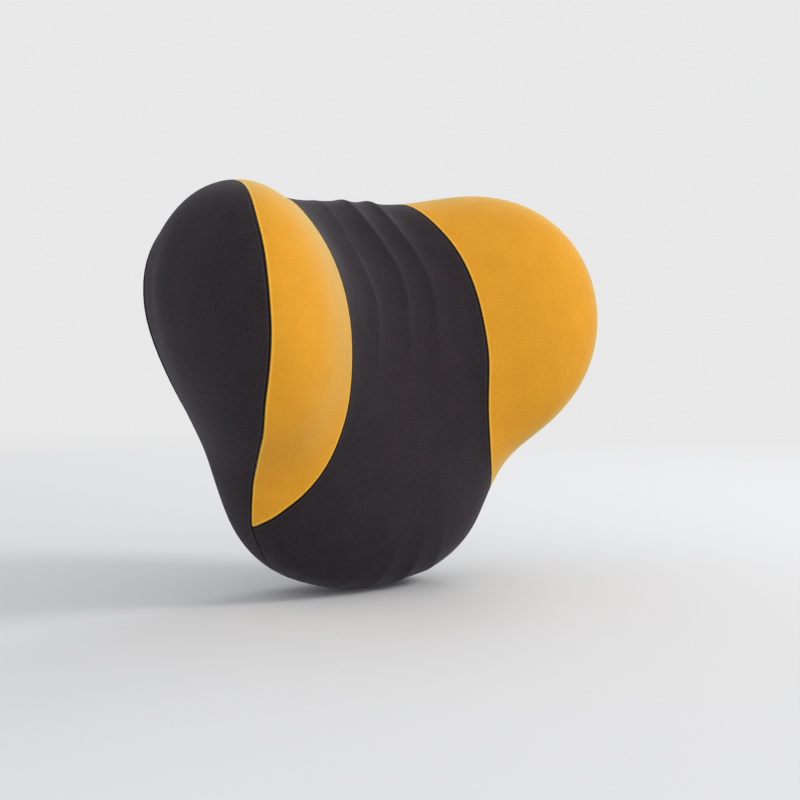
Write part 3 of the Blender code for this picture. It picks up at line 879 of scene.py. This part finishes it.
def add_coil(node, side):
    """A nylon thread wound along the tape's edge: z runs with cos(t), y with sin(t), and x with t. The loops of
    the two rows alternate, and reach into the gap as far as the slider's web leaves free."""
    half = ZIP_LENGTH / 2 - STOP_LENGTH - ZIP_CLEARANCE - COIL_THREAD
    turns = int(2 * half / COIL_PITCH)
    t = np.linspace(0, turns, turns * COIL_TURN_RINGS + 1)
    wide = COIL_WIDTH + COIL_REACH
    middle = ZIP_HEIGHT + side * (COIL_GAP / 2 + COIL_WIDTH - wide / 2)
    wound = 2 * math.pi * (t + 0.25 * (1 - side))
    base = ZIP_CLEARANCE - TAPE_SINK
    path = np.stack(
        [
            half * (2 * t / turns - 1),
            base + COIL_THICK / 2 + (COIL_THICK / 2 - COIL_THREAD) * np.sin(wound),
            middle + side * (wide / 2 - COIL_THREAD) * np.cos(wound),
        ],
        -1,
    )
    rings = tube(path, COIL_THREAD, THREAD_SIDES, np.array([1.0, 0, 0]))
    dress(closed_tube(node + "_turns", rings, COIL), node)


add_coil("zip_coil_upper", 1)
add_coil("zip_coil_lower", -1)


# Strap


def strap_height(x):
    """The strap's middle over the back: flat over its sewn ends, and bow * (1 - |2x / span|^3) between."""
    share = np.minimum(2 * np.abs(x) / STRAP_SPAN, 1)
    return ZIP_CLEARANCE + STRAP_THICK / 2 + STRAP_BOW * (1 - share**3)


def add_strap():
    """A ribbed elastic band: a rounded section with lengthwise ribs, carried along the bow."""
    end = STRAP_SPAN / 2 + STRAP_END
    x = np.linspace(-end, end, 401)
    path = even_line(np.stack([x, strap_height(x)], -1), 1.2 * MM)
    along = np.gradient(path, axis=0)
    along /= np.linalg.norm(along, axis=-1)[:, None]
    off = np.stack([-along[:, 1], along[:, 0]], -1)
    half = STRAP_WIDTH / 2
    z = half * np.sin(np.linspace(-math.pi / 2, math.pi / 2, 121))
    edge = np.maximum(1 - (np.abs(z) / half) ** 24, 0) ** 0.5
    outer = (STRAP_THICK / 2 + RIB_DEPTH * (np.cos(2 * math.pi * z / RIB_PITCH) - 1)) * edge
    ring_off = np.concatenate([outer, -outer[::-1][1:-1]])
    ring_z = np.concatenate([z, z[::-1][1:-1]])
    rings = np.empty((len(path), len(ring_z), 3))
    rings[..., 0] = path[:, :1] + off[:, :1] * ring_off
    rings[..., 1] = path[:, 1:] + off[:, 1:] * ring_off
    rings[..., 2] = STRAP_HEIGHT + ring_z
    dress(closed_tube("elastic_strap_band", rings, ELASTIC), "elastic_strap")


add_strap()


# Stitching


def add_stitches(name, lines, height):
    """Thread along lines of (x, z): each stitch is an arch with pointed ends, one step after the last."""
    rings, sides = STITCH_RINGS, THREAD_SIDES
    lift = np.sin(np.linspace(0, math.pi, rings))
    turn = np.arange(sides) * 2 * math.pi / sides
    parts = []
    for line in lines:
        line = np.array(line)
        run = run_along(line)
        for start in np.arange(0.1 * MM, run[-1] - STITCH_LENGTH, STITCH_STEP):
            places = start + np.linspace(0, STITCH_LENGTH, rings)
            x, z = (np.interp(places, run, line[:, axis]) for axis in range(2))
            path = np.stack([x, height + THREAD_RADIUS * (lift - 0.4), z], -1)
            thickness = (0.25 + 0.75 * np.sqrt(lift))[:, None, None]
            along = path[-1] - path[0]
            first = np.cross(along / np.linalg.norm(along), [0, 1.0, 0])
            around = first * np.cos(turn)[:, None] + np.array([0, 1.0, 0]) * np.sin(turn)[:, None]
            parts.append(path[:, None] + THREAD_RADIUS * thickness * around)
    points, faces = [], []
    for index, part in enumerate(parts):
        first = index * rings * sides
        last = first + (rings - 1) * sides
        faces += grid_faces(rings, sides, closed=True, start=first).tolist()
        faces += [list(range(first, first + sides))[::-1], list(range(last, last + sides))]
        points.append(part.reshape(-1, 3))
    thread = mesh_object(name, np.concatenate(points), faces, THREAD)
    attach(thread, "pillow")


def round_lines(corners):
    """The straight lines from each corner to the next, and back to the first."""
    return list(zip(corners, corners[1:] + corners[:1]))


def box_and_cross(side):
    """The lines that hold one end of the strap: round its edge, then corner to corner both ways."""
    near, far = side * (STRAP_SPAN / 2 + EDGE_TO_STITCH), side * (STRAP_SPAN / 2 + STRAP_END - EDGE_TO_STITCH)
    reach = STRAP_WIDTH / 2 - SIDE_TO_STITCH
    low, high = STRAP_HEIGHT - reach, STRAP_HEIGHT + reach
    corners = [(near, low), (near, high), (far, high), (far, low)]
    return round_lines(corners) + [(corners[0], corners[2]), (corners[1], corners[3])]


def zip_rectangle():
    """The lines round the zip's slot."""
    wide, high = (half + EDGE_TO_STITCH for half in SLOT_HALF)
    low, top = ZIP_HEIGHT - high, ZIP_HEIGHT + high
    return round_lines([(-wide, low), (wide, low), (wide, top), (-wide, top)])


add_stitches("strap_stitches", box_and_cross(-1) + box_and_cross(1), ZIP_CLEARANCE + STRAP_THICK)
add_stitches("zip_stitches", zip_rectangle(), 0.0)


# CAD pieces that stay

for node in ("zip_slider", "zip_pull", "zip_stop_left", "zip_stop_right"):
    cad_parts[node].data.materials[0] = GUNMETAL
for node in ("zip_tape_upper", "zip_tape_lower"):
    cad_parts[node].data.materials[0] = TAPE


# Stage

BACKDROP = (0.81, 0.81, 0.815)
SKY_LIGHT = (0.71, 0.72, 0.74)
FLOOR_COLOUR, FLOOR_BOUNCE = (0.76, 0.76, 0.76), (0.66, 0.66, 0.66)
FLOOR_RADIUS, FLOOR_GAP, FLOOR_SIDES = 12, 0.3 * MM, 96
FADE_START, FADE_END = 0.35, 1.5


def add_camera():
    """A camera at the photograph's angle, which looks at the view's target."""
    data = bpy.data.cameras.new("camera")
    data.sensor_width = SENSOR_WIDTH
    data.lens = SENSOR_WIDTH * VIEW_FOCAL_PIXELS / FRAME_PIXELS
    camera = bpy.data.objects.new("camera", data)
    bpy.context.scene.collection.objects.link(camera)
    back = Vector(
        (
            math.sin(VIEW_AZIMUTH) * math.cos(VIEW_ELEVATION),
            -math.cos(VIEW_AZIMUTH) * math.cos(VIEW_ELEVATION),
            math.sin(VIEW_ELEVATION),
        )
    )
    camera.location = VIEW_TARGET + back * VIEW_DISTANCE
    camera.rotation_euler = back.to_track_quat("Z", "Y").to_euler()
    bpy.context.scene.camera = camera


def seen_directly(tree):
    """1 for a ray from the camera or one that metal or glass sends on, otherwise 0."""
    rays = tree.nodes.new("ShaderNodeLightPath").outputs
    seen = rays["Is Camera Ray"]
    for kind in ("Is Glossy Ray", "Is Transmission Ray"):
        either = tree.nodes.new("ShaderNodeMath")
        either.operation = "MAXIMUM"
        tree.links.new(seen, either.inputs[0])
        tree.links.new(rays[kind], either.inputs[1])
        seen = either.outputs["Value"]
    return seen


def pale_floor():
    """A pale floor that keeps the shadow near the pillow and fades into the backdrop further out."""
    graph = Graph("pale_floor", FLOOR_COLOUR, 0.9)
    graph.set(graph.shader, "Specular IOR Level", 0.0)
    seen = seen_directly(graph.tree)
    graph.set(graph.shader, "Base Color", graph.mixed(seen, FLOOR_BOUNCE, FLOOR_COLOUR))
    away = graph.add("VectorMath", {"operation": "LENGTH"})
    graph.set(away, 0, graph.place())
    far = graph.ranged(away.outputs["Value"], FADE_START, FADE_END)
    backdrop = graph.add("Emission", Color=(*BACKDROP, 1), Strength=1.0)
    both = graph.add("MixShader")
    graph.set(both, 0, graph.math("MULTIPLY", far, seen))
    graph.set(both, 1, graph.shader.outputs["BSDF"])
    graph.set(both, 2, backdrop.outputs["Emission"])
    graph.set(graph.tree.nodes["Material Output"], "Surface", both.outputs["Shader"])
    return graph.material


def add_floor():
    """A disc just under the pillow."""
    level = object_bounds()[0][2] - FLOOR_GAP
    turn = np.arange(FLOOR_SIDES) * 2 * math.pi / FLOOR_SIDES
    edge = np.stack([FLOOR_RADIUS * np.cos(turn), FLOOR_RADIUS * np.sin(turn), level + 0 * turn], -1)
    mesh_object("floor", edge, [list(range(len(turn)))], pale_floor())


def add_light(name, place, size, power):
    """A soft round lamp that looks at the pillow."""
    data = bpy.data.lights.new(name, "AREA")
    data.shape = "DISK"
    data.size = size
    data.energy = power
    light = bpy.data.objects.new(name, data)
    bpy.context.scene.collection.objects.link(light)
    light.location = place
    light.rotation_euler = (Vector(place) - LIGHT_TARGET).to_track_quat("Z", "Y").to_euler()


def add_world():
    """A soft even sky for light, and the backdrop's plain colour where the sky is seen directly."""
    world = bpy.data.worlds.new("studio")
    bpy.context.scene.world = world
    world.use_nodes = True
    tree = world.node_tree
    colour = tree.nodes.new("ShaderNodeMix")
    colour.data_type = "RGBA"
    tree.links.new(seen_directly(tree), colour.inputs[0])
    colour.inputs[MIX_FIRST].default_value = (*SKY_LIGHT, 1)
    colour.inputs[MIX_SECOND].default_value = (*BACKDROP, 1)
    tree.links.new(colour.outputs[MIX_RESULT], tree.nodes["Background"].inputs["Color"])


add_camera()
add_floor()
add_world()
add_light("key", (1.15, -1.15, 1.0), 0.6, 13)
add_light("fill", (-1.0, -1.4, -0.15), 0.9, 12.5)
add_light("rim", (1.2, 0.5, 0.9), 0.6, 4)
bpy.context.scene.view_settings.view_transform = "Standard"
